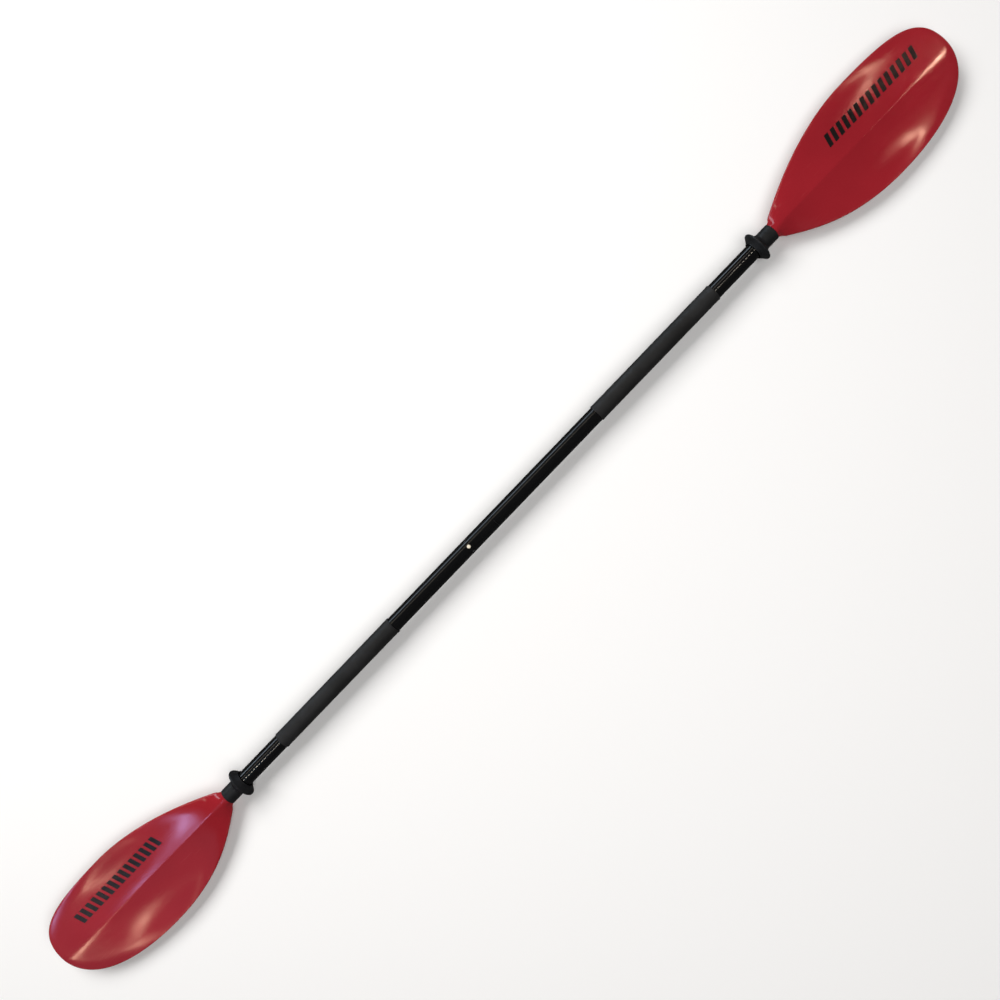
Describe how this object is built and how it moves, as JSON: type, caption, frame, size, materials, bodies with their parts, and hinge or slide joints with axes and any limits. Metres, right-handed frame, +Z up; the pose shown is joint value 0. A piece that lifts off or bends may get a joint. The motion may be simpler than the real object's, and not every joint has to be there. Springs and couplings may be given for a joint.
{
  "type": "kayak paddle",
  "caption": "Two-piece double-bladed kayak paddle: dished asymmetric blades on a round jointed shaft with grip sleeves and drip rings.",
  "frame": {"origin": "on the floor under the middle of the shaft, where the two halves meet", "axes": "+X along the shaft to the right blade, +Y across the blades to their long edges, +Z up out of the power faces"},
  "size_m": [2.3, 0.1864, 0.058],
  "materials": {
    "blade_red": "moulded, glossy",
    "shaft_black": "glossy black composite tube",
    "grip_black": "fine-grained sleeve",
    "ring_rubber": "matt rubber",
    "collar_black": "matt sleeve",
    "button_cream": "satin",
    "ferrule_grey": "satin composite",
    "steel": "satin",
    "foam": "closed-cell foam"
  },
  "bodies": {
    "left_half": {"left_shaft_tube": "shaft_black", "ferrule": "ferrule_grey", "ferrule_plug": "foam", "left_foam_plug": "foam", "button_spring": "steel", "left_grip": "grip_black", "left_collar": "collar_black", "left_upper_rivet": "steel", "left_lower_rivet": "steel", "left_blade": "blade_red"},
    "button": {"snap_button": "button_cream"},
    "left_ring": {"left_drip_ring": "ring_rubber"},
    "right_core": {"right_foam_plug": "foam"},
    "right_half": {"right_shaft_tube": "shaft_black", "right_grip": "grip_black", "right_collar": "collar_black", "right_upper_rivet": "steel", "right_lower_rivet": "steel", "right_blade": "blade_red"},
    "right_ring": {"right_drip_ring": "ring_rubber"}
  },
  "joints": [
    {"name": "button_press", "type": "slide", "parent": "left_half", "child": "button", "axis": [0, 0, -1], "range_m": [0, 0.0045], "stiffness_N_per_m": 600, "springref_m": -0.004, "deforming": ["button_spring"]},
    {"name": "takedown", "type": "slide", "parent": "left_half", "child": "right_core", "axis": [1, 0, 0], "range_m": [0, 0.1]},
    {"name": "feather", "type": "hinge", "parent": "right_core", "child": "right_half", "pos_m": [0, 0, 0.029], "axis": [1, 0, 0], "range_deg": [-60, 60]},
    {"name": "left_ring_slide", "type": "slide", "parent": "left_half", "child": "left_ring", "axis": [1, 0, 0], "range_m": [0, 0.09]},
    {"name": "right_ring_slide", "type": "slide", "parent": "right_half", "child": "right_ring", "axis": [-1, 0, 0], "range_m": [0, 0.09]}
  ]
}
